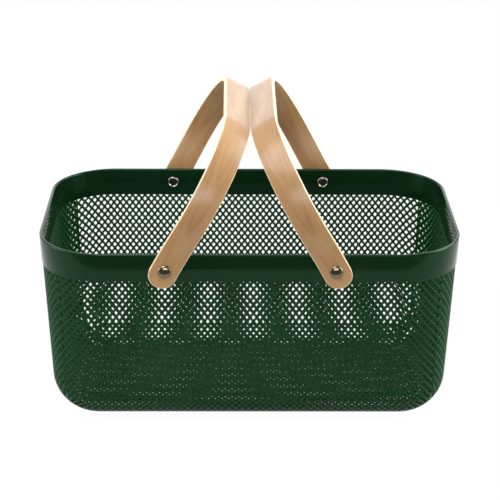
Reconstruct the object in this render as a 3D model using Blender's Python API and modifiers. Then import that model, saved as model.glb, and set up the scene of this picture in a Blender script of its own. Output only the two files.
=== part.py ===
# Mesh basket with a smooth rim band and two hinged bentwood handles.
# Metres, +Z up. The origin is on the ground under the middle of the base, and +X runs along the length.
# Each handle turns about a line along Y through its two pivots. At rest both lean inwards and their grips meet.

import math

import bmesh
import bpy
from mathutils import Vector

# Basket shell: one moulding, measured over the outside of the rim band
LENGTH = 0.400
DEPTH = 0.2415
HEIGHT = 0.1822
CORNER_RADIUS = 0.0626
GROUND_CORNER_RADIUS = 0.0450
END_DRAFT = math.radians(3.05)
SIDE_DRAFT = math.radians(3.45)
BASE_EDGE_RADIUS = 0.0378
MESH_WALL = 0.0022
BAND_HEIGHT = 0.0278
BAND_PROUD = 0.0008
RIM_ROUND = 0.0011

# Diamond lattice, drawn coarser than the moulded one, with the same share of open area
LATTICE_PITCH = 0.0329
LATTICE_ROW_PITCH = 0.0424
STRAND_SHARE = 0.36
SEAM_RIB = 0.0050
SMALLEST_HOLE_SHARE = 0.22

# Handles: a strip of bent wood, sized along its own plane from the pivot axis
PIVOT_X = 0.0787
PIVOT_BELOW_RIM = 0.01336
STRIP_WIDTH = 0.0259
STRIP_THICKNESS = 0.0058
GRIP_HEIGHT = 0.1373
BEND_RADIUS = 0.0756
LEG_BULGE = 0.0069
LEG_STRAIGHT = 0.0080
FOOT_BELOW_PIVOT = 0.0176
WOOD_EDGE_ROUND = 0.0007

# Pivot hardware: a barrel nut from outside, a recessed screw from inside, a spacer between band and leg
BARREL_RADIUS = 0.0025
BARREL_HEAD_RADIUS = 0.0064
BARREL_HEAD_HEIGHT = 0.0030
SCREW_HEAD_RADIUS = 0.0062
SCREW_HEAD_HEIGHT = 0.0022
SCREW_RIM_WIDTH = 0.0013
SCREW_DISH_DEPTH = 0.0006
SCREW_SHANK_RADIUS = 0.0013
SCREW_SHANK_LENGTH = 0.0050
CROSS_LENGTH = 0.0056
CROSS_WIDTH = 0.0014
CROSS_DEPTH = 0.0010
SPACER_RADIUS = 0.0060
SPACER_THICKNESS = 0.0022

# Clearances
FIT_GAP = 0.0003
GRIP_GAP = 0.0003

# Facets
CORNER_STEPS = 6
EDGE_STEPS = 5
BEND_STEPS = 11
LEG_STEPS = 7
FOOT_STEPS = 10
TURN_STEPS = 16
DOME_STEPS = 3

# Colour, roughness and metallic value of each material
MATERIALS = {
    "green_plastic": ((0.010, 0.045, 0.018), 0.38, 0.0),
    "pale_veneer": ((0.62, 0.42, 0.25), 0.45, 0.0),
    "bright_steel": ((0.60, 0.58, 0.55), 0.22, 1.0),
    "dark_spacer": ((0.05, 0.06, 0.05), 0.50, 0.0),
}

PIVOT_Z = HEIGHT - PIVOT_BELOW_RIM
BAND_WALL = MESH_WALL + BAND_PROUD
SIDES = (("left", -1), ("right", 1))
FACES = (("front", -1), ("back", 1))


def clear_scene():
    for old in list(bpy.data.objects):
        bpy.data.objects.remove(old, do_unlink=True)


def make_collection(name):
    collection = bpy.data.collections.new(name)
    bpy.context.scene.collection.children.link(collection)
    return collection


def make_material(name):
    colour, roughness, metallic = MATERIALS[name]
    material = bpy.data.materials.new(name)
    material.use_nodes = True
    shader = material.node_tree.nodes["Principled BSDF"]
    shader.inputs["Base Color"].default_value = (*colour, 1.0)
    shader.inputs["Roughness"].default_value = roughness
    shader.inputs["Metallic"].default_value = metallic
    return material


def object_from(name, build, collection, material=None):
    mesh = bpy.data.meshes.new(name)
    bmesh.ops.recalc_face_normals(build, faces=build.faces)
    build.to_mesh(mesh)
    build.free()
    made = bpy.data.objects.new(name, mesh)
    collection.objects.link(made)
    if material:
        mesh.materials.append(material)
    else:
        made.hide_render = True
        made.display_type = "WIRE"
    return made


def cut(target, cutter):
    modifier = target.modifiers.new(f"cut {cutter.name}", "BOOLEAN")
    modifier.operation = "DIFFERENCE"
    modifier.solver = "EXACT"
    modifier.object = cutter


def smooth(target, degrees=35):
    target.data.shade_smooth()
    target.data.set_sharp_from_angle(angle=math.radians(degrees))


# Outer face of the drafted walls, before the base edge is rounded
def half_length_at(z):
    return LENGTH / 2 - (HEIGHT - z) * math.tan(END_DRAFT)


def half_depth_at(z):
    return DEPTH / 2 - (HEIGHT - z) * math.tan(SIDE_DRAFT)


# The corners get tighter towards the ground
def corner_radius_at(z):
    return GROUND_CORNER_RADIUS + (CORNER_RADIUS - GROUND_CORNER_RADIUS) * z / HEIGHT


def ring(z, inset):
    half_x = half_length_at(z) - inset
    half_y = half_depth_at(z) - inset
    radius = corner_radius_at(z) - inset
    points = []
    for quarter, (side_x, side_y) in enumerate(((1, 1), (-1, 1), (-1, -1), (1, -1))):
        for step in range(CORNER_STEPS + 1):
            angle = math.pi / 2 * (quarter + step / CORNER_STEPS)
            x = side_x * (half_x - radius) + radius * math.cos(angle)
            y = side_y * (half_y - radius) + radius * math.sin(angle)
            points.append((x, y, z))
    return points


# Rings from the underside, up the outside, over the rim and down the inside to the floor
def cup_rings():
    rings = []
    for step in range(EDGE_STEPS + 1):
        angle = math.pi / 2 * (1 - step / EDGE_STEPS)
        z = BASE_EDGE_RADIUS * (1 - math.sin(angle))
        rings.append(ring(z, BAND_PROUD + BASE_EDGE_RADIUS * (1 - math.cos(angle))))
    band_foot = HEIGHT - BAND_HEIGHT
    rings.append(ring(band_foot, BAND_PROUD))
    rings.append(ring(band_foot, 0.0))
    rings.append(ring(HEIGHT - RIM_ROUND, 0.0))
    rings.append(ring(HEIGHT, RIM_ROUND))
    rings.append(ring(HEIGHT, BAND_WALL - RIM_ROUND))
    rings.append(ring(HEIGHT - RIM_ROUND, BAND_WALL))
    inner_radius = BASE_EDGE_RADIUS - MESH_WALL
    for step in range(EDGE_STEPS + 1):
        angle = math.pi / 2 * step / EDGE_STEPS
        z = BASE_EDGE_RADIUS - inner_radius * math.sin(angle)
        rings.append(ring(z, BAND_WALL + inner_radius * (1 - math.cos(angle))))
    return rings


def loft(name, rings, collection, material):
    build = bmesh.new()
    rows = [[build.verts.new(point) for point in points] for points in rings]
    for low, high in zip(rows, rows[1:]):
        count = len(low)
        for i in range(count):
            build.faces.new((low[i], low[(i + 1) % count], high[(i + 1) % count], high[i]))
    build.faces.new(rows[0])
    build.faces.new(rows[-1])
    return object_from(name, build, collection, material)


# The part of a convex polygon that lies inside a convex anticlockwise region
def clip(polygon, region):
    for start, end in zip(region, region[1:] + region[:1]):
        edge = (end[0] - start[0], end[1] - start[1])
        kept = []
        for here, following in zip(polygon, polygon[1:] + polygon[:1]):
            side_here = edge[0] * (here[1] - start[1]) - edge[1] * (here[0] - start[0])
            side_next = edge[0] * (following[1] - start[1]) - edge[1] * (following[0] - start[0])
            if side_here >= 0:
                kept.append(here)
            if (side_here > 0) != (side_next > 0) and side_here != side_next:
                share = side_here / (side_here - side_next)
                if 0 < share < 1:
                    crossing_u = here[0] + share * (following[0] - here[0])
                    crossing_v = here[1] + share * (following[1] - here[1])
                    kept.append((crossing_u, crossing_v))
        polygon = kept
        if len(polygon) < 3:
            return []
    return polygon


def area(polygon):
    total = 0.0
    for here, following in zip(polygon, polygon[1:] + polygon[:1]):
        total += here[0] * following[1] - following[0] * here[1]
    return total / 2


# Staggered diamonds inside a region; a strand crossing or a hole's centre lies on middle
def lattice(region, middle, hole_on_middle):
    half_u = LATTICE_PITCH / 2
    half_v = LATTICE_ROW_PITCH / 2
    open_u = half_u * (1 - STRAND_SHARE)
    open_v = half_v * (1 - STRAND_SHARE)
    reach_u = max(abs(u - middle[0]) for u, v in region)
    reach_v = max(abs(v - middle[1]) for u, v in region)
    columns = math.ceil(reach_u / half_u) + 1
    rows = math.ceil(reach_v / half_v) + 1
    parity = 0 if hole_on_middle else 1
    holes = []
    for row in range(-rows, rows + 1):
        for column in range(-columns, columns + 1):
            if (row + column) % 2 != parity:
                continue
            u = middle[0] + column * half_u
            v = middle[1] + row * half_v
            diamond = [(u + open_u, v), (u, v + open_v), (u - open_u, v), (u, v - open_v)]
            hole = clip(diamond, region)
            if hole and area(hole) > SMALLEST_HOLE_SHARE * 2 * open_u * open_v:
                holes.append(hole)
    return holes


# Prisms through the shell, one for each hole; place puts (across, up, through) in the world
def prisms(name, holes, start, end, place, collection):
    build = bmesh.new()
    for hole in holes:
        near = [build.verts.new(place(u, v, start)) for u, v in hole]
        far = [build.verts.new(place(u, v, end)) for u, v in hole]
        build.faces.new(near)
        build.faces.new(list(reversed(far)))
        for i in range(len(hole)):
            following = (i + 1) % len(hole)
            build.faces.new((near[i], far[i], far[following], near[following]))
    return object_from(name, build, collection)


# Field of a wall's lattice, from the band down round half of the base edge and out to the corner seams
def wall_region(half_at, half_rib):
    top = HEIGHT - BAND_HEIGHT
    edge = BASE_EDGE_RADIUS
    diagonal = math.sqrt(0.5)
    low = edge * (1 - diagonal) + half_rib
    corner = edge * (1 - math.sqrt(1 / 3)) + half_rib

    def seam(z):
        return half_at(z) - BAND_PROUD - (corner_radius_at(z) - BAND_PROUD) * (1 - diagonal) - half_rib

    radius = corner_radius_at(corner) - BAND_PROUD
    trio = half_at(corner) - BAND_PROUD - radius
    trio += (radius - edge) * diagonal + edge * math.sqrt(1 / 3) - half_rib
    flat = half_at(low) - corner_radius_at(low)
    right = [(flat, low), (trio, corner), (seam(edge), edge), (seam(top), top)]
    left = [(-u, v) for u, v in reversed(right)]
    return right + left


def base_region(half_rib):
    inset = BASE_EDGE_RADIUS * (1 - math.sqrt(0.5)) + half_rib + BAND_PROUD
    return [(x, y) for x, y, z in ring(0.0, inset)]


def build_shell(collection, cutters, material):
    shell = loft("basket_shell", cup_rings(), collection, material)
    half_rib = SEAM_RIB / 2
    top_middle = (0.0, HEIGHT - BAND_HEIGHT)
    side_holes = lattice(wall_region(half_length_at, half_rib), top_middle, True)
    end_holes = lattice(wall_region(half_depth_at, half_rib), top_middle, True)
    base_holes = lattice(base_region(half_rib), (0.0, 0.0), False)
    side_reach = DEPTH / 2 + BASE_EDGE_RADIUS
    end_reach = LENGTH / 2 + BASE_EDGE_RADIUS
    cut(shell, prisms("side_lattice", side_holes, side_reach, -side_reach,
                      lambda u, v, w: (u, w, v), cutters))
    cut(shell, prisms("end_lattice", end_holes, -end_reach, end_reach,
                      lambda u, v, w: (w, u, v), cutters))
    cut(shell, prisms("base_lattice", base_holes, -BASE_EDGE_RADIUS, BASE_EDGE_RADIUS,
                      lambda u, v, w: (u, v, w), cutters))
    for side, x in SIDES:
        bore = cylinder(f"band_bore_{side}", BARREL_RADIUS + FIT_GAP, DEPTH * 1.2, cutters)
        bore.location = (x * PIVOT_X, 0.0, PIVOT_Z)
        bore.rotation_euler = (math.pi / 2, 0.0, 0.0)
        cut(shell, bore)
    return shell


def cylinder(name, radius, length, collection):
    build = bmesh.new()
    bmesh.ops.create_cone(build, cap_ends=True, segments=TURN_STEPS,
                          radius1=radius, radius2=radius, depth=length)
    return object_from(name, build, collection)


# Places along Y, counted outwards from the middle of the basket, of what is stacked on a pivot
def stack():
    inner_face = half_depth_at(PIVOT_Z - SCREW_HEAD_RADIUS) - BAND_WALL
    outer_face = half_depth_at(PIVOT_Z + SPACER_RADIUS)
    screw_seat = inner_face - FIT_GAP
    spacer_foot = outer_face + FIT_GAP
    leg_inner = spacer_foot + SPACER_THICKNESS + FIT_GAP
    leg_outer = leg_inner + STRIP_THICKNESS
    return screw_seat, spacer_foot, (leg_inner + leg_outer) / 2, leg_outer + FIT_GAP


# Half of a handle's centre line in its own plane, as (across, up), from the grip's middle to the foot
def strip_line():
    screw_seat, spacer_foot, leg_middle, head_seat = stack()
    widest = leg_middle + LEG_BULGE
    bend_foot = GRIP_HEIGHT - BEND_RADIUS
    points = [(0.0, GRIP_HEIGHT)]
    for step in range(BEND_STEPS + 1):
        angle = math.pi / 2 * (1 - step / BEND_STEPS)
        across = widest - BEND_RADIUS * (1 - math.cos(angle))
        points.append((across, bend_foot + BEND_RADIUS * math.sin(angle)))
    for step in range(1, LEG_STEPS + 1):
        share = step / LEG_STEPS
        ease = share * share * (3 - 2 * share)
        points.append((widest - LEG_BULGE * ease, bend_foot + (LEG_STRAIGHT - bend_foot) * share))
    return points


def build_handle(side, x, collection, cutters, material):
    half_width = STRIP_WIDTH / 2
    foot_centre = half_width - FOOT_BELOW_PIVOT
    leg_middle = stack()[2]
    build = bmesh.new()
    line = strip_line() + [(leg_middle, foot_centre)]
    rows = [[build.verts.new((w, across, up)) for w in (-half_width, half_width)] for across, up in line]
    for upper, lower in zip(rows, rows[1:]):
        build.faces.new((upper[0], upper[1], lower[1], lower[0]))
    foot = []
    for step in range(1, FOOT_STEPS):
        angle = math.pi * step / FOOT_STEPS
        foot.append(build.verts.new((half_width * math.cos(angle), leg_middle,
                                     foot_centre - half_width * math.sin(angle))))
    build.faces.new([rows[-1][0], rows[-1][1]] + foot)
    handle = object_from(f"handle_{side}", build, collection, material)

    mirror = handle.modifiers.new("other leg", "MIRROR")
    mirror.use_axis = (False, True, False)
    mirror.merge_threshold = 0.00001
    thicken = handle.modifiers.new("strip thickness", "SOLIDIFY")
    thicken.thickness = STRIP_THICKNESS
    thicken.offset = 0.0
    thicken.use_even_offset = True
    edge = handle.modifiers.new("rounded edges", "BEVEL")
    edge.width = WOOD_EDGE_ROUND
    edge.segments = 1
    edge.limit_method = "ANGLE"
    edge.angle_limit = math.radians(50)

    handle.location = (x * PIVOT_X, 0.0, PIVOT_Z)
    handle.rotation_euler = (0.0, -x * rest_lean(), 0.0)
    bore = cylinder(f"handle_bore_{side}", BARREL_RADIUS + FIT_GAP, DEPTH * 1.5, cutters)
    bore.location = handle.location
    bore.rotation_euler = (math.pi / 2, 0.0, 0.0)
    cut(handle, bore)
    smooth(handle)
    return handle


# Angle from upright at which the grips' outer edges meet over the middle of the basket
def rest_lean():
    top = GRIP_HEIGHT + STRIP_THICKNESS / 2
    side = STRIP_WIDTH / 2
    corners = ((side - WOOD_EDGE_ROUND, top), (side, top - WOOD_EDGE_ROUND))
    reach = PIVOT_X - GRIP_GAP / 2
    return min(math.asin(reach / math.hypot(*corner)) - math.atan2(*corner) for corner in corners)


# A turned piece: its profile, in (radius, height), runs down the outer side and closes on the axis
def turned(name, profile, collection, material):
    build = bmesh.new()
    points = [build.verts.new((radius, 0.0, up)) for radius, up in profile]
    for upper, lower in zip(points, points[1:]):
        build.edges.new((upper, lower))
    made = object_from(name, build, collection, material)
    turn = made.modifiers.new("turn", "SCREW")
    turn.axis = "Z"
    turn.steps = TURN_STEPS
    turn.render_steps = TURN_STEPS
    turn.use_merge_vertices = True
    turn.merge_threshold = 0.00001
    smooth(made)
    return made


# Lays a turned piece's axis along Y, its top pointing outwards or inwards, at a distance from the middle
def seat(piece, x, face, distance, outwards):
    direction = face if outwards else -face
    piece.rotation_euler = Vector((0.0, direction, 0.0)).to_track_quat("Z", "X").to_euler()
    piece.location = (x * PIVOT_X, face * distance, PIVOT_Z)


def build_barrel(name, x, face, collection, material):
    screw_seat, spacer_foot, leg_middle, head_seat = stack()
    length = head_seat - screw_seat - FIT_GAP
    bore_radius = SCREW_SHANK_RADIUS + FIT_GAP
    bore_top = SCREW_SHANK_LENGTH - length
    profile = []
    for step in range(DOME_STEPS + 1):
        angle = math.pi / 2 * (1 - step / DOME_STEPS)
        profile.append((BARREL_HEAD_RADIUS * math.cos(angle), BARREL_HEAD_HEIGHT * math.sin(angle)))
    profile[0] = (0.0, BARREL_HEAD_HEIGHT)
    profile += [(BARREL_RADIUS, 0.0), (BARREL_RADIUS, -length), (bore_radius, -length)]
    profile += [(bore_radius, bore_top), (0.0, bore_top)]
    barrel = turned(name, profile, collection, material)
    seat(barrel, x, face, head_seat, True)
    return barrel


def build_screw(name, x, face, collection, cutters, material):
    screw_seat = stack()[0]
    dish = SCREW_HEAD_HEIGHT - SCREW_DISH_DEPTH
    profile = [(0.0, dish), (SCREW_HEAD_RADIUS - 2 * SCREW_RIM_WIDTH, dish)]
    profile += [(SCREW_HEAD_RADIUS - SCREW_RIM_WIDTH, SCREW_HEAD_HEIGHT)]
    profile += [(SCREW_HEAD_RADIUS, SCREW_HEAD_HEIGHT / 2), (SCREW_HEAD_RADIUS, 0.0)]
    profile += [(SCREW_SHANK_RADIUS, 0.0), (SCREW_SHANK_RADIUS, -SCREW_SHANK_LENGTH)]
    profile += [(0.0, -SCREW_SHANK_LENGTH)]
    screw = turned(name, profile, collection, material)
    for arm, sizes in (("a", (CROSS_LENGTH, CROSS_WIDTH)), ("b", (CROSS_WIDTH, CROSS_LENGTH))):
        build = bmesh.new()
        bmesh.ops.create_cube(build, size=1.0)
        bmesh.ops.scale(build, vec=(sizes[0], sizes[1], 2 * CROSS_DEPTH), verts=build.verts)
        bmesh.ops.translate(build, vec=(0.0, 0.0, dish), verts=build.verts)
        slot = object_from(f"{name}_slot_{arm}", build, cutters)
        seat(slot, x, face, screw_seat, False)
        cut(screw, slot)
    seat(screw, x, face, screw_seat, False)
    return screw


def build_spacer(name, x, face, collection, material):
    spacer_foot = stack()[1]
    hole = BARREL_RADIUS + FIT_GAP
    profile = [(hole, SPACER_THICKNESS), (SPACER_RADIUS, SPACER_THICKNESS)]
    profile += [(SPACER_RADIUS, 0.0), (hole, 0.0), (hole, SPACER_THICKNESS)]
    spacer = turned(name, profile, collection, material)
    seat(spacer, x, face, spacer_foot, True)
    return spacer


def main():
    clear_scene()
    collection = make_collection("mesh_plastic_basket")
    cutters = make_collection("cutters")
    materials = {name: make_material(name) for name in MATERIALS}
    build_shell(collection, cutters, materials["green_plastic"])
    for side, x in SIDES:
        build_handle(side, x, collection, cutters, materials["pale_veneer"])
        for face_name, face in FACES:
            place = f"{side}_{face_name}"
            build_barrel(f"barrel_nut_{place}", x, face, collection, materials["bright_steel"])
            build_screw(f"screw_{place}", x, face, collection, cutters, materials["bright_steel"])
            build_spacer(f"spacer_{place}", x, face, collection, materials["dark_spacer"])


main()
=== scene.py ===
import math

import bmesh
import bpy
import numpy as np
from mathutils import Matrix, Vector


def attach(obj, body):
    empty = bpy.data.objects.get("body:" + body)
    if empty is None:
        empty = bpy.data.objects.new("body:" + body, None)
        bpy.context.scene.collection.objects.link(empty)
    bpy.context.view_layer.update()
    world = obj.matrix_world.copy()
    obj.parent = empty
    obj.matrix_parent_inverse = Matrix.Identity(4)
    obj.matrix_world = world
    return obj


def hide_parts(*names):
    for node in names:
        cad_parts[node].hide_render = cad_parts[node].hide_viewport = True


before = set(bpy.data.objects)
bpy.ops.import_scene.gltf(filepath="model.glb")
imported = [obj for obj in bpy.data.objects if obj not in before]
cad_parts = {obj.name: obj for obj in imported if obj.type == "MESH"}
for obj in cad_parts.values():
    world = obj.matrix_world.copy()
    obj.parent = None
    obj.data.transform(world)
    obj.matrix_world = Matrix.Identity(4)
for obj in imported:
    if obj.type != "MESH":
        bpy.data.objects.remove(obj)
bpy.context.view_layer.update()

weld = 0.00001                  # points closer than this are joined


# A socket of a node tree. Sums and products of signals add Math nodes to the tree.
class Signal:
    def __init__(self, graph, socket):
        self.graph = graph
        self.socket = socket

    def __add__(self, other):
        return self.graph.math("ADD", self, other)

    def __radd__(self, other):
        return self.graph.math("ADD", other, self)

    def __sub__(self, other):
        return self.graph.math("SUBTRACT", self, other)

    def __rsub__(self, other):
        return self.graph.math("SUBTRACT", other, self)

    def __mul__(self, other):
        return self.graph.math("MULTIPLY", self, other)

    def __rmul__(self, other):
        return self.graph.math("MULTIPLY", other, self)

    def __truediv__(self, other):
        return self.graph.math("DIVIDE", self, other)


# Builds nodes in a tree: every node comes from node(), which takes its type, settings and socket values.
class Graph:
    def __init__(self, tree):
        self.tree = tree
        tree.nodes.clear()

    def node(self, kind, settings=None, inputs=None, output=0):
        made = self.tree.nodes.new(kind)
        for name, value in (settings or {}).items():
            setattr(made, name, value)
        for name, value in (inputs or {}).items():
            if isinstance(value, Signal):
                self.tree.links.new(value.socket, made.inputs[name])
            else:
                made.inputs[name].default_value = value
        return Signal(self, made.outputs[output]) if made.outputs else None

    def math(self, operation, *values):
        return self.node("ShaderNodeMath", {"operation": operation}, dict(enumerate(values)))

    def parts(self, vector):
        first = self.node("ShaderNodeSeparateXYZ", inputs={"Vector": vector})
        return [Signal(self, socket) for socket in first.socket.node.outputs]

    # 1 on the camera's rays, and 1 on those that a surface mirrors or lets through
    def rays(self):
        path = self.node("ShaderNodeLightPath").socket.node.outputs
        mirrored = Signal(self, path["Is Glossy Ray"]) + Signal(self, path["Is Transmission Ray"])
        return Signal(self, path["Is Camera Ray"]), self.math("MINIMUM", mirrored, 1.0)

    def point(self, x, y, z):
        return self.node("ShaderNodeCombineXYZ", inputs={"X": x, "Y": y, "Z": z})

    def between(self, factor, first, second):  # colours or a colour and a signal
        inputs = {0: factor, 6: self.solid(first), 7: self.solid(second)}
        return self.node("ShaderNodeMix", {"data_type": "RGBA"}, inputs, 2)

    def solid(self, colour):
        return colour if isinstance(colour, Signal) else (*colour, 1.0)

    def noise(self, place, scale, detail=2.0, roughness=0.5):
        inputs = {"Vector": place, "Scale": scale, "Detail": detail, "Roughness": roughness}
        return self.node("ShaderNodeTexNoise", inputs=inputs)

    def ease(self, value, low, high):
        inputs = {"Value": value, "From Min": low, "From Max": high}
        return self.node("ShaderNodeMapRange", {"interpolation_type": "SMOOTHSTEP"}, inputs)

    def bump(self, height, strength, distance):
        inputs = {"Height": height, "Strength": strength, "Distance": distance}
        return self.node("ShaderNodeBump", inputs=inputs)


def newMaterial(name):
    material = bpy.data.materials.new(name)
    material.use_nodes = True
    return material, Graph(material.node_tree)


def surface(graph, **sockets):
    inputs = {name.replace("_", " "): value for name, value in sockets.items()}
    shader = graph.node("ShaderNodeBsdfPrincipled", inputs=inputs)
    graph.node("ShaderNodeOutputMaterial", inputs={"Surface": shader})


# A geometry tree with named inputs, its graph, and a signal for each input
def newTree(name, kinds):
    tree = bpy.data.node_groups.new(name, "GeometryNodeTree")
    tree.is_modifier = True
    graph = Graph(tree)
    tree.interface.new_socket("Geometry", in_out="INPUT", socket_type="NodeSocketGeometry")
    for inputName, kind in kinds.items():
        tree.interface.new_socket(inputName, in_out="INPUT", socket_type=f"NodeSocket{kind}")
    tree.interface.new_socket("Geometry", in_out="OUTPUT", socket_type="NodeSocketGeometry")
    given = tree.nodes.new("NodeGroupInput")
    return tree, graph, {socket.name: Signal(graph, socket) for socket in given.outputs if socket.name}


def endTree(graph, geometry, material):
    realized = graph.node("GeometryNodeRealizeInstances", inputs={"Geometry": geometry})
    merged = graph.node("GeometryNodeMergeByDistance", inputs={"Geometry": realized, "Distance": weld})
    finished = graph.node("GeometryNodeSetMaterial", inputs={"Geometry": merged, "Material": material})
    graph.node("NodeGroupOutput", inputs={"Geometry": finished})


def runTree(piece, tree, values):
    modifier = piece.modifiers.new(tree.name, "NODES")
    modifier.node_group = tree
    identifiers = {item.name: item.identifier for item in tree.interface.items_tree if item.in_out == "INPUT"}
    for name, value in values.items():
        modifier[identifiers[name]] = value
    settle(piece)


# Turns what the modifiers make into the object's own plain mesh
def settle(piece):
    depsgraph = bpy.context.evaluated_depsgraph_get()
    mesh = bpy.data.meshes.new_from_object(piece.evaluated_get(depsgraph))
    piece.modifiers.clear()
    piece.data = mesh


def meshObject(name, build, material=None):
    mesh = bpy.data.meshes.new(name)
    build.to_mesh(mesh)
    build.free()
    made = bpy.data.objects.new(name, mesh)
    bpy.context.scene.collection.objects.link(made)
    if material:
        mesh.materials.append(material)
    return made


def shadeSmooth(piece, degrees):
    piece.data.shade_smooth()
    piece.data.set_sharp_from_angle(angle=math.radians(degrees))


def finishPiece(piece, body, nodes):
    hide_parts(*nodes)
    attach(piece, body)
    print(f"{piece.name}: {len(piece.data.polygons)} faces on {body}")


# Camera, floor, light

view = {
    "lens": 118.77,
    "elevation": 22.025,
    "yaw": 0.710,
    "roll": 0.372,
    "distance": 1.6422,
    "target": (0.00109, 0.0, 0.13834),
    "sensor": 36.0,
    "nearest": 0.01,
    "furthest": 50.0,
}

studio = {
    "floorColour": (0.90, 0.90, 0.90),
    "floorClouds": (0.80, 0.80, 0.80),
    "floorHalf": 6.0,
    "floorDrop": 0.0003,
    "floorWhite": 0.98,         # share of the floor that the camera sees as plain white
    "floorFront": -0.37,        # where the paper ends towards the camera, out of its view
    "ambient": 0.42,
    "frontDimming": 0.80,       # the studio is darker behind the camera
    "frontFade": (0.1, 0.8),    # how far to the front a direction points where the dimming begins and is full
    "lamps": {                  # place, aim, width, height, watts
        "top": ((-0.60, -0.60, 1.65), (0.0, 0.0, 0.12), 1.5, 1.2, 30.0),
        "front": ((0.1, -1.9, 0.62), (0.0, 0.0, 0.12), 1.2, 0.6, 13.0),
        "leftSide": ((-1.5, -0.2, 0.5), (0.0, 0.0, 0.12), 0.7, 1.1, 12.0),
        "rightSide": ((1.5, -0.2, 0.5), (0.0, 0.0, 0.12), 0.7, 1.1, 13.0),
        "rightHigh": ((1.2, 0.2, 0.9), (-0.1, 0.0, 0.10), 1.0, 0.8, 22.0),
        "backdrop": ((0.0, 3.0, 0.75), (0.0, 0.0, 0.75), 6.0, 1.4, 26.0),
    },
}


def aim(holder, place, target):
    holder.location = place
    holder.rotation_euler = (Vector(target) - Vector(place)).to_track_quat("-Z", "Y").to_euler()
    bpy.context.scene.collection.objects.link(holder)


def makeCamera():
    elevation, yaw = math.radians(view["elevation"]), math.radians(view["yaw"])
    forward = Vector((math.sin(yaw) * math.cos(elevation), math.cos(yaw) * math.cos(elevation),
                      -math.sin(elevation)))
    camera = bpy.data.objects.new("camera", bpy.data.cameras.new("camera"))
    camera.data.lens = view["lens"]
    camera.data.sensor_width = view["sensor"]
    camera.data.clip_start = view["nearest"]
    camera.data.clip_end = view["furthest"]
    target = Vector(view["target"])
    aim(camera, target - forward * view["distance"], target)
    camera.rotation_euler.rotate_axis("Z", math.radians(view["roll"]))
    bpy.context.scene.camera = camera


def makeFloor():
    build = bmesh.new()
    half = studio["floorHalf"]
    bmesh.ops.create_grid(build, x_segments=8, y_segments=8, size=half)
    middle = (0.0, studio["floorFront"] + half, -studio["floorDrop"])
    bmesh.ops.translate(build, verts=build.verts, vec=middle)
    material, graph = newMaterial("paleFloor")
    place = graph.node("ShaderNodeTexCoord", output="Object")
    tone = graph.noise(place, 3.0)
    colour = graph.between(tone * 0.06, studio["floorColour"], studio["floorClouds"])
    lit = graph.node("ShaderNodeBsdfDiffuse", inputs={"Color": colour})
    plain = graph.node("ShaderNodeEmission", inputs={"Color": (1.0, 1.0, 1.0, 1.0), "Strength": 1.0})
    camera, mirrored = graph.rays()
    share = graph.math("MAXIMUM", camera, mirrored) * studio["floorWhite"]
    mixed = graph.node("ShaderNodeMixShader", inputs={0: share, 1: lit, 2: plain})
    graph.node("ShaderNodeOutputMaterial", inputs={"Surface": mixed})
    meshObject("floor", build, material)


def makeLight():
    for name, (place, target, width, height, watts) in studio["lamps"].items():
        lamp = bpy.data.objects.new(name, bpy.data.lights.new(name, "AREA"))
        lamp.data.shape = "RECTANGLE"
        lamp.data.size = width
        lamp.data.size_y = height
        lamp.data.energy = watts
        aim(lamp, place, target)
    world = bpy.data.worlds.new("studio")
    bpy.context.scene.world = world
    world.use_nodes = True
    graph = Graph(world.node_tree)
    x, y, z = graph.parts(graph.node("ShaderNodeTexCoord", output="Generated"))
    camera, mirrored = graph.rays()
    room = 1.0 - graph.ease(0.0 - y, *studio["frontFade"]) * studio["frontDimming"]
    room = room * (studio["ambient"] + mirrored * (1.0 - studio["ambient"]))
    strength = graph.math("MAXIMUM", camera, room)
    background = graph.node("ShaderNodeBackground",
                            inputs={"Color": (1.0, 1.0, 1.0, 1.0), "Strength": strength})
    graph.node("ShaderNodeOutputWorld", inputs={"Surface": background})
    bpy.context.scene.view_settings.view_transform = "Standard"


makeCamera()
makeFloor()
makeLight()
print("stage is set")


# Finishes

finishes = {
    "bandDark": (0.0027, 0.0140, 0.0042),
    "bandLight": (0.0035, 0.0185, 0.0056),
    # the band's plastic painted about twice as light: painted light for what the thin strands catch and let
    # through
    "meshDarkWithPaintedLight": (0.0046, 0.0270, 0.0078),
    "meshPaleWithPaintedLight": (0.0062, 0.0370, 0.0105),
    "plasticSheen": (0.45, 1.0, 0.62, 1.0),     # tint of what the plastic mirrors
    "scuff": (0.030, 0.095, 0.048),
    "woodPale": (0.400, 0.232, 0.096),
    "woodWarm": (0.315, 0.166, 0.060),
    "woodLine": (0.200, 0.092, 0.031),
    "woodEdge": (0.74, 0.60, 0.40),
    "woodGlue": (0.54, 0.38, 0.21),
    "woodLacquer": 0.70,
    "nutSteel": (0.200, 0.160, 0.105),
    "screwSteel": (0.28, 0.275, 0.24),
    # darker tone of the steel's random haze, and the painted shade in the screw heads' dish, recess and sides
    "grimeAndShade": (0.030, 0.034, 0.024),
    "rubber": (0.012, 0.016, 0.013),
    "rubberPale": (0.020, 0.026, 0.021),
}

figure = {
    "arches": 16000.0,          # growth rings crossed: this times the way across squared,
    "along": 16.0,              # and this times the way along
    "wander": 2.2,
    "ply": 0.00058,
    "glueLine": (0.00048, 0.00056),
    "cutEdge": (0.00025, 0.0009),       # way in from the outline over which the plies give way to the face
}


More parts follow.
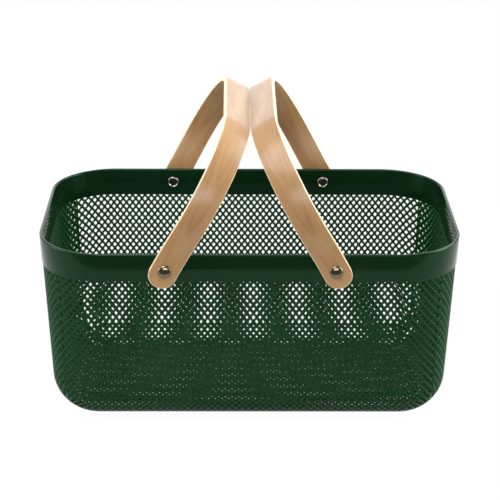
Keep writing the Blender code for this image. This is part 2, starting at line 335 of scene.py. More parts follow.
# Moulded polypropylene: flow clouds, a fine spark-eroded grain, and scuffs that are duller and paler
def mouldedPlastic(name, dark, light, roughness, gloss, grain):
    material, graph = newMaterial(name)
    place = graph.node("ShaderNodeTexCoord", output="Object")
    clouds = graph.noise(place, 14.0, 3.0)
    texture = graph.noise(place, 1400.0, 2.0, 0.6)
    scuffs = graph.ease(graph.noise(place, 95.0, 6.0, 0.65), 0.60, 0.74)
    colour = graph.between(clouds, finishes[dark], finishes[light])
    colour = graph.between(scuffs * 0.15, colour, finishes["scuff"])
    surface(graph, Base_Color=colour, Roughness=roughness + scuffs * 0.12 + clouds * 0.05,
            Specular_IOR_Level=gloss, Specular_Tint=finishes["plasticSheen"],
            Normal=graph.bump(texture, grain, 0.00006))
    return material


# Lacquered veneer plies: stripPlace holds the way along the strip, across it, and through its thickness.
# The figure is cut through growth rings, which draw long arches along it, with fine fibres and short flecks.
# The plies show where the way in from the strip's outline, which is round about the foot's centre, is short
def bentVeneer(name, halfWidth, footCentre):
    material, graph = newMaterial(name)
    place = graph.node("ShaderNodeAttribute", {"attribute_name": "stripPlace"}, output="Vector")
    along, across, depth = graph.parts(place)
    pastCentre = graph.math("MAXIMUM", graph.math("ABSOLUTE", along) - footCentre, 0.0)
    wayIn = halfWidth - graph.math("SQRT", across * across + pastCentre * pastCentre)
    face = graph.ease(wayIn, *figure["cutEdge"])
    wander = graph.noise(graph.point(along * 5.0, across * 30.0, depth * 120.0), 1.0, 2.0, 0.45)
    arches = wander * figure["wander"] + across * across * figure["arches"]
    rings = graph.math("FRACT", arches + graph.math("ABSOLUTE", along) * figure["along"])
    patches = graph.noise(graph.point(along * 16.0, across * 60.0, depth * 60.0), 1.0, 3.0, 0.5)
    fibre = graph.noise(graph.point(along * 45.0, across * 2400.0, depth * 1600.0), 1.0, 3.0, 0.6)
    flecks = graph.noise(graph.point(along * 260.0, across * 2100.0, depth * 1400.0), 1.0, 1.0)
    wood = graph.between(graph.ease(patches, 0.30, 0.72), finishes["woodPale"], finishes["woodWarm"])
    wood = graph.between(graph.ease(rings, 0.55, 1.0) * 0.30, wood, finishes["woodLine"])
    wood = graph.between(graph.ease(fibre, 0.40, 0.78) * 0.26, wood, finishes["woodLine"])
    wood = graph.between(graph.ease(flecks, 0.62, 0.72) * 0.45, wood, finishes["woodLine"])
    plies = graph.math("PINGPONG", depth + 0.01, figure["ply"])
    edge = graph.between(graph.ease(plies, *figure["glueLine"]), finishes["woodEdge"], finishes["woodGlue"])
    edge = graph.between(graph.ease(fibre, 0.40, 0.80) * 0.30, edge, finishes["woodPale"])
    height = fibre * 0.6 - graph.ease(flecks, 0.62, 0.72) * 0.8
    surface(graph, Base_Color=graph.between(face, edge, wood), Roughness=0.42 + fibre * 0.16,
            Specular_IOR_Level=0.30, Coat_Weight=finishes["woodLacquer"], Coat_Roughness=0.27,
            Normal=graph.bump(height, 0.25, 0.00006))
    return material


# Nickel plate with fine handling marks and a random darker haze. Painted shade darkens what lies further from
# the basket's middle than the given depth: on the screws, the dish, the recess and the head's sides
def brightSteel(name, shade, unshadedTo, roughness):
    material, graph = newMaterial(name)
    place = graph.node("ShaderNodeTexCoord", output="Object")
    x, y, z = graph.parts(place)
    haze = graph.noise(place, 320.0, 4.0)
    marks = graph.noise(place, 2600.0, 2.0)
    colour = graph.between(haze * 0.15, finishes[shade], finishes["grimeAndShade"])
    # painted shade: darkens the screw heads' dish, recess and sides, from the given depth outwards
    grimeAndShade = graph.ease(graph.math("ABSOLUTE", y), unshadedTo, unshadedTo + 0.0003)
    colour = graph.between(grimeAndShade * 0.85, colour, finishes["grimeAndShade"])
    surface(graph, Base_Color=colour, Metallic=1.0, Roughness=roughness + haze * 0.06,
            Normal=graph.bump(marks, 0.03, 0.00003))
    return material


def darkSpacer(name):
    material, graph = newMaterial(name)
    place = graph.node("ShaderNodeTexCoord", output="Object")
    speckle = graph.noise(place, 900.0, 3.0)
    colour = graph.between(speckle, finishes["rubber"], finishes["rubberPale"])
    surface(graph, Base_Color=colour, Roughness=0.50 + speckle * 0.15, Specular_IOR_Level=0.3,
            Normal=graph.bump(speckle, 0.30, 0.00005))
    return material


# the mesh's colours hold painted light, lighter than the band's plastic of which it is moulded
meshPlastic = mouldedPlastic("meshPlastic", "meshDarkWithPaintedLight", "meshPaleWithPaintedLight", roughness=0.24, gloss=0.09, grain=0.20)
bandPlastic = mouldedPlastic("bandPlastic", "bandDark", "bandLight", roughness=0.07, gloss=0.24, grain=0.01)
spacerPlastic = darkSpacer("spacerPlastic")
print("finishes are made")


# Basket shell: rim band, four mesh walls, mesh base, and the ribs along the seams

shell = {
    "length": 0.400,
    "depth": 0.2415,
    "height": 0.1822,
    "cornerRadius": 0.0626,
    "groundCorner": 0.0450,     # the corners get tighter towards the ground
    "endDraft": math.tan(math.radians(3.05)),
    "sideDraft": math.tan(math.radians(3.45)),
    "edgeRadius": 0.0378,
    "wall": 0.0022,
    "bandHeight": 0.0278,
    "bandProud": 0.0008,
    "rimRound": 0.0013,
    "footRound": 0.00045,
    "bandLip": 0.0001,          # how far the band's inner face stands off the mesh
    "cornerSteps": 24,
    "sharp": 38,                # degrees from which an edge is shaded sharp
    "ribWidth": 0.0010,
    "ribSunk": 0.00012,         # the ribs lie this far under both faces of the mesh
}

mesh = {
    "pitch": 0.00659,
    "rowPitch": 0.00848,
    "firstRow": 2.300,          # row pitches from the rim down to a hole on the middle line
    "frontRise": 0.06,          # row pitches by which the front wall's holes sit higher
    "quarterSteps": 3,          # straight pieces in a quarter of a hole's outline
    "fullness": 1.15,           # 1 is a sharp diamond, 2 an ellipse
    "wallLevels": ((0.0, 0.86), (0.35, 0.60), (1.0, 0.555)),   # share of the wall, size of the hole
    "baseLevels": ((0.0, 0.66), (1.0, 0.60)),
    "underBand": 0.0007,
    "seamSteps": 10,
    "seamCrowding": 1.3,        # above 1, the steps up a seam lie closer at its foot
    "sharp": 95,
}

bandFoot = shell["height"] - shell["bandHeight"]
diagonal = math.sqrt(0.5)
cornerGrowth = (shell["cornerRadius"] - shell["groundCorner"]) / shell["height"]
seamLow = [shell["edgeRadius"] - (shell["edgeRadius"] - depth) * diagonal for depth in (0.0, shell["wall"])]

# What both trees that lay flat mesh onto the shell are given
shellKinds = {"Ground Corner": "Float", "Corner Growth": "Float", "Edge Radius": "Float", "Proud": "Float",
              "Wall": "Float", "Material": "Material"}
shellValues = {
    "Ground Corner": shell["groundCorner"],
    "Corner Growth": cornerGrowth,
    "Edge Radius": shell["edgeRadius"],
    "Proud": shell["bandProud"],
    "Wall": shell["wall"],
    "Material": meshPlastic,
}


def halfLengthAt(z):
    return shell["length"] / 2 - (shell["height"] - z) * shell["endDraft"]


def halfDepthAt(z):
    return shell["depth"] / 2 - (shell["height"] - z) * shell["sideDraft"]


def cornerAt(z):
    return shell["groundCorner"] + cornerGrowth * z


# Corner radius of the mesh's outer or inner face
def meshCornerAt(z, depth):
    edge = shell["edgeRadius"] - depth
    below = max(shell["edgeRadius"] - z, 0.0)
    return cornerAt(z) - shell["bandProud"] - shell["edgeRadius"] + math.sqrt(edge ** 2 - below ** 2)


# Rounded rectangle at a height, moved inwards from the outside of the band
def outlineAt(z, inset):
    radius = cornerAt(z) - inset
    centreX = halfLengthAt(z) - cornerAt(z)
    centreY = halfDepthAt(z) - cornerAt(z)
    points = []
    for quarter, (sideX, sideY) in enumerate(((1, 1), (-1, 1), (-1, -1), (1, -1))):
        for step in range(shell["cornerSteps"] + 1):
            angle = math.pi / 2 * (quarter + step / shell["cornerSteps"])
            points.append((sideX * centreX + radius * math.cos(angle),
                           sideY * centreY + radius * math.sin(angle), z))
    return points


# Closed skin over rings of points; the last ring joins the first
def hoop(name, rings, material):
    build = bmesh.new()
    rows = [[build.verts.new(point) for point in ring] for ring in rings]
    for lower, upper in zip(rows, rows[1:] + rows[:1]):
        for i in range(len(lower)):
            following = (i + 1) % len(lower)
            build.faces.new((lower[i], lower[following], upper[following], upper[i]))
    bmesh.ops.recalc_face_normals(build, faces=build.faces)
    return meshObject(name, build, material)


def arc(centre, radius, first, last, steps):
    angles = [math.radians(first + (last - first) * step / steps) for step in range(steps + 1)]
    return [(centre[0] - radius * math.cos(angle), centre[1] + radius * math.sin(angle)) for angle in angles]


# Profile of the band as (inset, height), from its foot up the outside, over the rim and down the inside
def makeRimBand():
    top, edge, foot = shell["height"], shell["rimRound"], shell["footRound"]
    inner = shell["bandProud"] + shell["wall"] + shell["bandLip"]
    profile = arc((foot, bandFoot + foot), foot, -90, 0, 3)
    profile += arc((edge, top - edge), edge, 0, 90, 6)
    profile += arc((inner - edge, top - edge), edge, 90, 180, 6)
    profile += arc((inner - foot, bandFoot + foot), foot, 180, 270, 3)
    return hoop("rim_band", [outlineAt(z, inset) for inset, z in profile], bandPlastic)


# Quarter of a hole's outline, from its side corner to its upper corner
def quarterHole(size):
    points = []
    for step in range(mesh["quarterSteps"] + 1):
        angle = math.pi / 2 * step / mesh["quarterSteps"]
        across = max(math.cos(angle), 0.0) ** (2 / mesh["fullness"])
        up = math.sin(angle) ** (2 / mesh["fullness"])
        points.append((size * across * mesh["pitch"] / 2, size * up * mesh["rowPitch"] / 2))
    return points


# The strands between the lower half of one hole and the two upper quarters below it, laid flat:
# X runs across, Z up, and Y through the wall from its outer face
def halfTile(levels):
    halfPitch, halfRow = mesh["pitch"] / 2, mesh["rowPitch"] / 2
    build = bmesh.new()
    for side in (-1, 1):
        above, below, crossings = [], [], []
        for share, size in levels:
            y = share * shell["wall"]
            quarter = quarterHole(size)
            above.append([build.verts.new((side * u, y, -v)) for u, v in quarter])
            below.append([build.verts.new((side * (halfPitch - u), y, v - halfRow))
                          for u, v in reversed(quarter)])
        for y in (0.0, shell["wall"]):
            crossings.append([build.verts.new(place)
                              for place in ((side * halfPitch, y, 0.0), (0.0, y, -halfRow))])
        for row, ends in zip((0, -1), crossings):
            upper, lower = above[row], below[row]
            build.faces.new((ends[0], upper[0], lower[0]))
            build.faces.new((upper[-1], ends[1], lower[-1]))
            for i in range(len(upper) - 1):
                build.faces.new((upper[i], upper[i + 1], lower[i + 1], lower[i]))
        for outline in (above, below):
            for near, far in zip(outline, outline[1:]):
                for i in range(len(near) - 1):
                    build.faces.new((near[i], near[i + 1], far[i + 1], far[i]))
    bmesh.ops.remove_doubles(build, verts=build.verts, dist=0.000001)
    bmesh.ops.recalc_face_normals(build, faces=build.faces)
    return build


# Copies of the tile in rows, every other row moved half a pitch
def staggeredTiles():
    kinds = {"Pitch": "Float", "Row Step": "Float", "Columns": "Int", "Rows": "Int", "Top": "Float",
             "Material": "Material"}
    tree, graph, given = newTree("staggered tiles", kinds)
    sizeX = (given["Columns"] - 1.0) * given["Pitch"]
    sizeY = (given["Rows"] - 1.0) * given["Row Step"]
    grid = graph.node("GeometryNodeMeshGrid", inputs={"Size X": sizeX, "Size Y": sizeY,
                                                      "Vertices X": given["Columns"],
                                                      "Vertices Y": given["Rows"]})
    x, y, z = graph.parts(graph.node("GeometryNodeInputPosition"))
    row = graph.math("ROUND", (sizeY / 2.0 - y) / given["Row Step"])
    shift = graph.math("MODULO", row, 2.0) * given["Pitch"] / 2.0
    place = graph.point(x + shift, 0.0, given["Top"] - row * given["Row Step"])
    points = graph.node("GeometryNodeSetPosition", inputs={"Geometry": grid, "Position": place})
    tiles = graph.node("GeometryNodeInstanceOnPoints",
                       inputs={"Points": points, "Instance": given["Geometry"]})
    endTree(graph, tiles, given["Material"])
    return tree


# Bends the flat mesh of a wall round the corners and the base edge. Its holes stay parallel, as a slide
# cuts them
def wallOntoShell():
    kinds = {"Half Across": "Float", "Across Draft": "Float", "Half Out": "Float", "Out Draft": "Float",
             "Turn": "Float", **shellKinds}
    tree, graph, given = newTree("wall onto shell", kinds)
    u, w, z = graph.parts(graph.node("GeometryNodeInputPosition"))
    corner = given["Ground Corner"] + z * given["Corner Growth"]
    centreAcross = given["Half Across"] + z * given["Across Draft"] - corner
    centreOut = given["Half Out"] + z * given["Out Draft"] - corner
    past = graph.math("MAXIMUM", graph.math("ABSOLUTE", u) - centreAcross, 0.0)
    below = graph.math("MAXIMUM", given["Edge Radius"] - z, 0.0)
    faces = []
    for edge in (given["Edge Radius"], given["Edge Radius"] - given["Wall"]):
        level = graph.math("SQRT", edge * edge - below * below)
        radius = corner - given["Proud"] - given["Edge Radius"] + level
        faces.append(graph.math("SQRT", graph.math("MAXIMUM", radius * radius - past * past, 0.0)))
    outward = centreOut + faces[0] + (faces[1] - faces[0]) * w / given["Wall"]
    turned = graph.node("ShaderNodeVectorRotate", {"rotation_type": "Z_AXIS"},
                        {"Vector": graph.point(u, 0.0 - outward, z), "Angle": given["Turn"]})
    moved = graph.node("GeometryNodeSetPosition", inputs={"Geometry": given["Geometry"], "Position": turned})
    endTree(graph, moved, given["Material"])
    return tree


# Lays the flat mesh of the base over the bottom and half way up the base edge, its holes upright
def baseOntoShell():
    kinds = {"Half Length": "Float", "End Draft": "Float", "Half Depth": "Float", "Side Draft": "Float",
             **shellKinds}
    tree, graph, given = newTree("base onto shell", kinds)
    u, w, v = graph.parts(graph.node("GeometryNodeInputPosition"))
    acrossX, acrossY = graph.math("ABSOLUTE", u), graph.math("ABSOLUTE", v)
    heights = []
    for edge in (given["Edge Radius"], given["Edge Radius"] - given["Wall"]):
        height = 0.0
        for turn in range(3):              # the drafted outline depends on the height that it gives
            corner = given["Ground Corner"] + height * given["Corner Growth"]
            overX = acrossX - (given["Half Length"] + height * given["End Draft"] - corner)
            overY = acrossY - (given["Half Depth"] + height * given["Side Draft"] - corner)
            pastX = graph.math("MAXIMUM", overX, 0.0)
            pastY = graph.math("MAXIMUM", overY, 0.0)
            cornerward = graph.math("SQRT", pastX * pastX + pastY * pastY)
            flat = graph.math("MINIMUM", graph.math("MAXIMUM", overX, overY), 0.0)
            level = given["Edge Radius"] - corner + given["Proud"] + cornerward + flat
            level = graph.math("MINIMUM", graph.math("MAXIMUM", level, 0.0), edge)
            height = given["Edge Radius"] - graph.math("SQRT", edge * edge - level * level)
        heights.append(height)
    place = graph.point(u, 0.0 - v, heights[0] + (heights[1] - heights[0]) * w / given["Wall"])
    moved = graph.node("GeometryNodeSetPosition", inputs={"Geometry": given["Geometry"], "Position": place})
    endTree(graph, moved, given["Material"])
    return tree


# Solid whose sides pass through the outer outline at the wall's outer face, and through the inner one at
# its inner face
def outlineSolid(outer, inner):
    build = bmesh.new()
    near = [build.verts.new((2 * a[0] - b[0], -shell["wall"], 2 * a[1] - b[1]))
            for a, b in zip(outer, inner)]
    far = [build.verts.new((2 * b[0] - a[0], 2 * shell["wall"], 2 * b[1] - a[1]))
           for a, b in zip(outer, inner)]
    build.faces.new(near)
    build.faces.new(list(reversed(far)))
    for i in range(len(near)):
        following = (i + 1) % len(near)
        build.faces.new((near[i], far[i], far[following]))
        build.faces.new((near[i], far[following], near[following]))
    bmesh.ops.recalc_face_normals(build, faces=build.faces)
    return meshObject("fieldOutline", build)


# A field of mesh laid flat and trimmed to an outline
def flatMesh(name, levels, top, outer, inner, material):
    reachAcross = max(abs(u) for u, v in outer)
    reachDown = top - min(v for u, v in outer)
    field = meshObject(name, halfTile(levels))
    runTree(field, tilesTree, {
        "Pitch": mesh["pitch"],
        "Row Step": mesh["rowPitch"] / 2,
        "Columns": 2 * math.ceil(reachAcross / mesh["pitch"]) + 3,
        "Rows": math.ceil(reachDown / (mesh["rowPitch"] / 2)) + 1,
        "Top": top,
        "Material": material,
    })
    build = bmesh.new()
    build.from_mesh(field.data)
    bmesh.ops.edgeloop_fill(build, edges=[edge for edge in build.edges if edge.is_boundary])
    bmesh.ops.recalc_face_normals(build, faces=build.faces)
    build.to_mesh(field.data)
    build.free()
    outline = outlineSolid(outer, inner)
    trim = field.modifiers.new("trim", "BOOLEAN")
    trim.operation = "INTERSECT"
    trim.solver = "MANIFOLD"
    trim.object = outline
    settle(field)
    bpy.data.objects.remove(outline, do_unlink=True)
    return field


# Heights up a corner seam, from the base field's border to behind the band
def seamHeights(low):
    shares = [(step / mesh["seamSteps"]) ** mesh["seamCrowding"] for step in range(mesh["seamSteps"] + 1)]
    heights = [low + (shell["edgeRadius"] - low) * share for share in shares]
    return heights + [bandFoot, bandFoot + mesh["underBand"]]


# Half width of a wall's field at a height: out to the middle of the corner, where the next field begins
def seamAt(z, halfAt, depth):
    return halfAt(z) - cornerAt(z) + meshCornerAt(z, depth) * diagonal


def makeWalls():
    wallTree = wallOntoShell()
    walls = []
    for name, turn, halfAcross, halfOut, acrossDraft, outDraft in (
            ("front", 0.0, halfLengthAt, halfDepthAt, "endDraft", "sideDraft"),
            ("right", 90.0, halfDepthAt, halfLengthAt, "sideDraft", "endDraft"),
            ("back", 180.0, halfLengthAt, halfDepthAt, "endDraft", "sideDraft"),
            ("left", 270.0, halfDepthAt, halfLengthAt, "sideDraft", "endDraft")):
        outlines = []
        for low, depth in zip(seamLow, (0.0, shell["wall"])):
            right = [(seamAt(z, halfAcross, depth), z) for z in seamHeights(low)]
            outlines.append(right + [(-u, z) for u, z in reversed(right)])
        firstRow = mesh["firstRow"] - (mesh["frontRise"] if name == "front" else 0.0)
        top = shell["height"] - firstRow * mesh["rowPitch"]
        wall = flatMesh(f"mesh_wall_{name}", mesh["wallLevels"], top, *outlines, meshPlastic)
        runTree(wall, wallTree, {
            "Half Across": halfAcross(0.0),
            "Across Draft": shell[acrossDraft],
            "Half Out": halfOut(0.0),
            "Out Draft": shell[outDraft],
            "Turn": math.radians(turn),
            **shellValues,
        })
        walls.append(wall)
    return walls


def makeBase():
    outlines = [[(x, y) for x, y, z in outlineAt(low, shell["bandProud"] + low)] for low in seamLow]
    rows = math.ceil(shell["depth"] / mesh["rowPitch"])
    base = flatMesh("mesh_base", mesh["baseLevels"], rows * mesh["rowPitch"] / 2, *outlines, meshPlastic)
    runTree(base, baseOntoShell(), {
        "Half Length": halfLengthAt(0.0),
        "End Draft": shell["endDraft"],
        "Half Depth": halfDepthAt(0.0),
        "Side Draft": shell["sideDraft"],
        **shellValues,
    })
    return base


# Thin ribs that the strands run into: one up each corner and one round the base edge
def makeCornerRibs():
    build = bmesh.new()
    half = shell["ribWidth"] / 2
    for sideX in (-1, 1):
        for sideY in (-1, 1):
            rows = []
            for heights in zip(*(seamHeights(low) for low in seamLow)):
                row = []
                for face, along in ((0, -half), (0, half), (1, half), (1, -half)):
                    z = heights[face]
                    sunk = shell["ribSunk"] * (1 if face else -1)
                    radius = meshCornerAt(z, face * shell["wall"]) + sunk
                    x = halfLengthAt(z) - cornerAt(z) + (radius + along) * diagonal
                    y = halfDepthAt(z) - cornerAt(z) + (radius - along) * diagonal
                    row.append(build.verts.new((sideX * x, sideY * y, z)))
                rows.append(row)
            for lower, upper in zip(rows, rows[1:]):
                for i in range(4):
                    build.faces.new((lower[i], lower[(i + 1) % 4], upper[(i + 1) % 4], upper[i]))
            build.faces.new(rows[0])
            build.faces.new(rows[-1])
    bmesh.ops.recalc_face_normals(build, faces=build.faces)
    return meshObject("corner_ribs", build, meshPlastic)


def makeBaseRib():
    edge, sunk = shell["edgeRadius"], shell["ribSunk"]
    lean = math.pi / 4
    spread = shell["ribWidth"] / 2 / edge
    rings = []
    for depth, angle in ((sunk, lean - spread), (sunk, lean + spread),
                         (shell["wall"] - sunk, lean + spread), (shell["wall"] - sunk, lean - spread)):
        z = edge - (edge - depth) * math.sin(angle)
        rings.append(outlineAt(z, shell["bandProud"] + edge - (edge - depth) * math.cos(angle)))
    return hoop("base_rib", rings, meshPlastic)


tilesTree = staggeredTiles()
shellPieces = [makeRimBand(), makeCornerRibs(), makeBaseRib(), makeBase()] + makeWalls()
for piece in shellPieces:
    shadeSmooth(piece, shell["sharp"] if piece.name == "rim_band" else mesh["sharp"])
    finishPiece(piece, "basket", ["basket_shell"])


# Handles

strip = {
    "pivotX": 0.0787,
    "pivotBelowRim": 0.01336,
    "width": 0.0259,
    "thickness": 0.0058,
    "gripHeight": 0.1373,
    "bendRadius": 0.0756,
    "legBulge": 0.0069,
    "legStraight": 0.0080,
    "footBelowPivot": 0.0176,
    "edgeRound": 0.0007,
    "boreRadius": 0.0028,
    "gap": 0.0003,
    "spacer": 0.0022,
    "spacerRadius": 0.0060,
    "bendSteps": 40,
    "legSteps": 28,
    "footSteps": 30,
    "boreSteps": 40,
    "edgeSteps": 3,
    "squareEdge": 50,           # degrees from which an edge is rounded
    "sharp": 40,
}

pivotZ = shell["height"] - strip["pivotBelowRim"]
spacerFoot = halfDepthAt(pivotZ + strip["spacerRadius"]) + strip["gap"]
legMiddle = spacerFoot + strip["spacer"] + strip["gap"] + strip["thickness"] / 2
headSeat = legMiddle + strip["thickness"] / 2 + strip["gap"]


# Half of the centre line in the handle's plane, as (across, up), from the grip's middle to the foot's centre
def stripLine():
    widest = legMiddle + strip["legBulge"]
    bendFoot = strip["gripHeight"] - strip["bendRadius"]
    line = [(0.0, strip["gripHeight"])]
    for step in range(strip["bendSteps"] + 1):
        angle = math.pi / 2 * (1 - step / strip["bendSteps"])
        line.append((widest - strip["bendRadius"] * (1 - math.cos(angle)),
                     bendFoot + strip["bendRadius"] * math.sin(angle)))
    for step in range(1, strip["legSteps"] + 1):
        share = step / strip["legSteps"]
        ease = share * share * (3 - 2 * share)
        line.append((widest - strip["legBulge"] * ease,
                     bendFoot + (strip["legStraight"] - bendFoot) * share))
    line.append((legMiddle, strip["width"] / 2 - strip["footBelowPivot"]))
    return line


# Angle from upright at which the grips' outer edges meet over the middle of the basket
def restLean():
    top = strip["gripHeight"] + strip["thickness"] / 2
    side = strip["width"] / 2
    corners = ((side - strip["edgeRound"], top), (side, top - strip["edgeRound"]))
    reach = strip["pivotX"] - strip["gap"] / 2
    return min(math.asin(reach / math.hypot(*corner)) - math.atan2(*corner) for corner in corners)


# Writes each point's way along, across and through the strip
def markStrip(handleMesh, line):
    count = len(handleMesh.vertices)
    places = np.empty(count * 3)
    handleMesh.vertices.foreach_get("co", places)
    places = places.reshape(count, 3)
    flat = np.stack((np.abs(places[:, 1]), places[:, 2]), axis=1)
    knots = np.array(line + [(line[-1][0], line[-1][1] - strip["width"])])
    starts, steps = knots[:-1], np.diff(knots, axis=0)
    lengths = np.linalg.norm(steps, axis=1)
    travelled = np.concatenate(([0.0], np.cumsum(lengths)[:-1]))
    offset = flat[:, None, :] - starts[None]
    share = np.clip((offset * steps[None]).sum(axis=2) / lengths ** 2, 0.0, 1.0)
    gap = offset - share[..., None] * steps[None]
    nearest = np.argmin((gap ** 2).sum(axis=2), axis=1)
    rows = np.arange(count)
    cross = steps[nearest, 0] * offset[rows, nearest, 1] - steps[nearest, 1] * offset[rows, nearest, 0]
    depth = cross / lengths[nearest]
    along = (travelled[nearest] + share[rows, nearest] * lengths[nearest]) * np.sign(places[:, 1] + 1e-9)
    stripPlace = handleMesh.attributes.new("stripPlace", "FLOAT_VECTOR", "POINT")
    stripPlace.data.foreach_set("vector", np.stack((along, places[:, 0], depth), axis=1).ravel())


def makeHandle(side, sign, line, veneer):
    half = strip["width"] / 2
    build = bmesh.new()
    rows = [[build.verts.new((w, across, up)) for w in (-half, half)] for across, up in line]
    for upper, lower in zip(rows, rows[1:]):
        build.faces.new((upper[0], upper[1], lower[1], lower[0]))
    foot = []
    for step in range(1, strip["footSteps"]):
        angle = math.pi * step / strip["footSteps"]
        low = line[-1][1] - half * math.sin(angle)
        foot.append(build.verts.new((half * math.cos(angle), legMiddle, low)))
    build.faces.new([rows[-1][0], rows[-1][1]] + foot)
    bmesh.ops.recalc_face_normals(build, faces=build.faces)
    handle = meshObject(f"bentwood_handle_{side}", build, veneer)
    mirror = handle.modifiers.new("other leg", "MIRROR")
    mirror.use_axis = (False, True, False)
    mirror.merge_threshold = weld
    thicken = handle.modifiers.new("thickness", "SOLIDIFY")
    thicken.thickness = strip["thickness"]
    thicken.offset = 0.0
    thicken.use_even_offset = True
    rounded = handle.modifiers.new("rounded edges", "BEVEL")
    rounded.width = strip["edgeRound"]
    rounded.segments = strip["edgeSteps"]
    rounded.limit_method = "ANGLE"
    rounded.angle_limit = math.radians(strip["squareEdge"])
    build = bmesh.new()
    bmesh.ops.create_cone(build, cap_ends=True, segments=strip["boreSteps"], radius1=strip["boreRadius"],
                          radius2=strip["boreRadius"], depth=shell["depth"] * 1.5,
                          matrix=Matrix.Rotation(math.pi / 2, 4, "X"))
    drill = meshObject("drill", build)
    bore = handle.modifiers.new("bore", "BOOLEAN")
    bore.operation = "DIFFERENCE"
    bore.solver = "EXACT"
    bore.object = drill
    settle(handle)
    bpy.data.objects.remove(drill, do_unlink=True)
    markStrip(handle.data, line)
    lean = Matrix.Rotation(-sign * restLean(), 4, "Y")
    handle.data.transform(Matrix.Translation((sign * strip["pivotX"], 0.0, pivotZ)) @ lean)
    shadeSmooth(handle, strip["sharp"])
    return handle


stripCentre = stripLine()
stripReach = sum(math.dist(start, end) for start, end in zip(stripCentre, stripCentre[1:]))
bentwood = bentVeneer("bentVeneer", strip["width"] / 2, stripReach)
for side, sign in (("left", -1), ("right", 1)):
    handle = makeHandle(side, sign, stripCentre, bentwood)
    finishPiece(handle, f"{side}_handle", [f"handle_{side}"])


# Pivot hardware: barrel nuts, screws and spacers, modelled once each and set on the four pivots

fixing = {
    "barrelRadius": 0.0025,
    "barrelHeadRadius": 0.0064,
    "barrelHeadHeight": 0.0030,
    "barrelSkirt": 0.0004,      # upright part of the head under its dome
    "screwHeadRadius": 0.0062,
    "screwHeadHeight": 0.0022,
    "screwRimWidth": 0.0019,
    "screwDish": 0.0006,
    # The rim's outline: shares of its width inwards, and of the head's height up
    "screwRim": ((0.85, 1.0), (0.50, 0.95), (0.22, 0.75), (0.05, 0.42), (0.0, 0.15)),
    "screwDishEdge": 1.15,      # rim widths from the head's outside to the dish
    "screwUnshaded": 0.0003,       # way down from the head's top that is free of painted shade
    "shankRadius": 0.0013,
    "shankLength": 0.0050,
    "crossLength": 0.0056,
    "crossWidth": 0.0014,
    "crossDepth": 0.0010,
    "crossTaper": 0.55,
    "spacerEdge": 0.0003,
    "turnSteps": 48,
    "domeSteps": 12,
    "sharp": 40,
}

screwSeat = (halfDepthAt(pivotZ - fixing["screwHeadRadius"]) - shell["wall"] - shell["bandProud"]
             - strip["gap"])


# A turned piece about Z, from a profile of (radius, height) that starts and ends on the axis or closes
def turned(name, profile, closed):
    build = bmesh.new()
    steps = fixing["turnSteps"]
    rows = []
    for radius, up in profile:
        if radius == 0.0:
            rows.append([build.verts.new((0.0, 0.0, up))] * steps)
            continue
        rows.append([build.verts.new((radius * math.cos(2 * math.pi * step / steps),
                                      radius * math.sin(2 * math.pi * step / steps), up))
                     for step in range(steps)])
    for upper, lower in zip(rows, rows[1:] + rows[:1] if closed else rows[1:]):
        for i in range(steps):
            following = (i + 1) % steps
            corners = (upper[i], upper[following], lower[following], lower[i])
            build.faces.new(list(dict.fromkeys(corners)))
    bmesh.ops.recalc_face_normals(build, faces=build.faces)
    return meshObject(name, build)


def barrelNut():
    length = headSeat - screwSeat - strip["gap"]
    bore = fixing["shankRadius"] + strip["gap"]
    boreTop = fixing["shankLength"] - length
    skirt = fixing["barrelSkirt"]
    profile = [(0.0, fixing["barrelHeadHeight"])]
    for step in range(1, fixing["domeSteps"] + 1):
        angle = math.pi / 2 * (1 - step / fixing["domeSteps"])
        profile.append((fixing["barrelHeadRadius"] * math.cos(angle),
                        skirt + (fixing["barrelHeadHeight"] - skirt) * math.sin(angle)))
    profile += [(fixing["barrelHeadRadius"], 0.0), (fixing["barrelRadius"], 0.0)]
    profile += [(fixing["barrelRadius"], -length), (bore, -length), (bore, boreTop), (0.0, boreTop)]
    return turned("barrelNut", profile, False)


# Arms of the recess taper towards its bottom, as the driver's blade does
def recessedScrew():
    dish = fixing["screwHeadHeight"] - fixing["screwDish"]
    outer, rim = fixing["screwHeadRadius"], fixing["screwRimWidth"]
    profile = [(0.0, dish), (outer - fixing["screwDishEdge"] * rim, dish)]
    for inset, up in fixing["screwRim"]:
        profile.append((outer - inset * rim, up * fixing["screwHeadHeight"]))
    profile += [(outer, 0.0), (fixing["shankRadius"], 0.0)]
    profile += [(fixing["shankRadius"], -fixing["shankLength"]), (0.0, -fixing["shankLength"])]
    screw = turned("screw", profile, False)
    for turn in (0.0, math.pi / 2):
        build = bmesh.new()
        bmesh.ops.create_cube(build, size=1.0)
        for corner in build.verts:
            taper = 1.0 if corner.co.z > 0 else fixing["crossTaper"]
            corner.co = Vector((corner.co.x * fixing["crossLength"] * taper,
                                corner.co.y * fixing["crossWidth"] * taper,
                                dish + corner.co.z * 2 * fixing["crossDepth"]))
        bmesh.ops.rotate(build, verts=build.verts, cent=(0.0, 0.0, 0.0), matrix=Matrix.Rotation(turn, 3, "Z"))
        blade = meshObject("blade", build)
        recess = screw.modifiers.new("recess", "BOOLEAN")
        recess.operation = "DIFFERENCE"
        recess.solver = "EXACT"
        recess.object = blade
        settle(screw)
        bpy.data.objects.remove(blade, do_unlink=True)
    return screw


def spacerRing():
    hole, outer, high = fixing["barrelRadius"] + strip["gap"], strip["spacerRadius"], strip["spacer"]
    edge = fixing["spacerEdge"]
    profile = [(hole, high), (outer - edge, high), (outer, high - edge), (outer, edge), (outer - edge, 0.0)]
    profile += [(hole, 0.0)]
    return turned("spacer", profile, True)


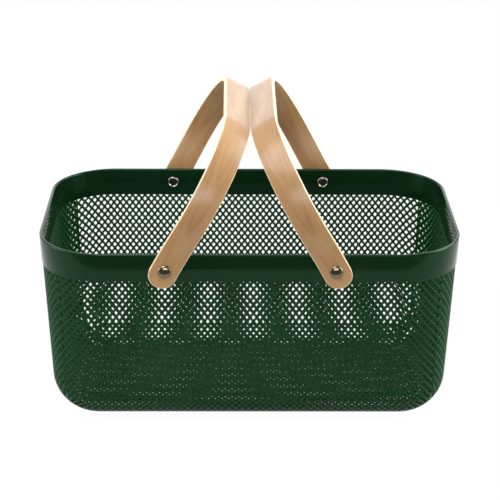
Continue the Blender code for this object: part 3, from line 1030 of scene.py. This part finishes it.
# One fixing on each of the four pivots, its top turned outwards, or inwards where Facing is -1
def onPivots():
    kinds = {"Fixing": "Object", "Pivot X": "Float", "Pivot Z": "Float", "Seat": "Float", "Facing": "Float",
             "Material": "Material"}
    tree, graph, given = newTree("fixings on pivots", kinds)
    corners = graph.node("GeometryNodeMeshGrid", inputs={"Size X": given["Pivot X"] * 2.0,
                                                         "Size Y": given["Seat"] * 2.0,
                                                         "Vertices X": 2, "Vertices Y": 2})
    x, y, z = graph.parts(graph.node("GeometryNodeInputPosition"))
    raised = graph.node("GeometryNodeSetPosition", inputs={"Geometry": corners,
                                                           "Position": graph.point(x, y, given["Pivot Z"])})
    angle = graph.math("SIGN", y) * given["Facing"] * (-math.pi / 2)
    model = graph.node("GeometryNodeObjectInfo", inputs={"Object": given["Fixing"]}, output="Geometry")
    rotation = graph.node("FunctionNodeEulerToRotation", inputs={"Euler": graph.point(angle, 0.0, 0.0)})
    placed = graph.node("GeometryNodeInstanceOnPoints",
                        inputs={"Points": raised, "Instance": model, "Rotation": rotation})
    endTree(graph, placed, given["Material"])
    return tree


pivotTree = onPivots()
nutSteel = brightSteel("nutPlate", "nutSteel", unshadedTo=shell["depth"], roughness=0.12)
# painted shade on the screw heads begins this far from the basket's middle
unshadedTo = screwSeat - fixing["screwHeadHeight"] + fixing["screwUnshaded"]
screwSteel = brightSteel("screwPlate", "screwSteel", unshadedTo=unshadedTo, roughness=0.22)
for name, model, seat, facing, material, slotName in (
        ("barrel_nut", barrelNut(), headSeat, 1.0, nutSteel, "bright_steel"),
        ("screw", recessedScrew(), screwSeat, -1.0, screwSteel, "bright_steel"),
        ("spacer", spacerRing(), spacerFoot, 1.0, spacerPlastic, "dark_spacer")):
    fixings = meshObject(f"{name}s", bmesh.new())
    runTree(fixings, pivotTree, {
        "Fixing": model,
        "Pivot X": strip["pivotX"],
        "Pivot Z": pivotZ,
        "Seat": seat,
        "Facing": facing,
        "Material": material,
    })
    bpy.data.objects.remove(model, do_unlink=True)
    shadeSmooth(fixings, fixing["sharp"])
    nodes = [f"{name}_{side}_{face}" for side in ("left", "right") for face in ("front", "back")]
    finishPiece(fixings, "basket", nodes)
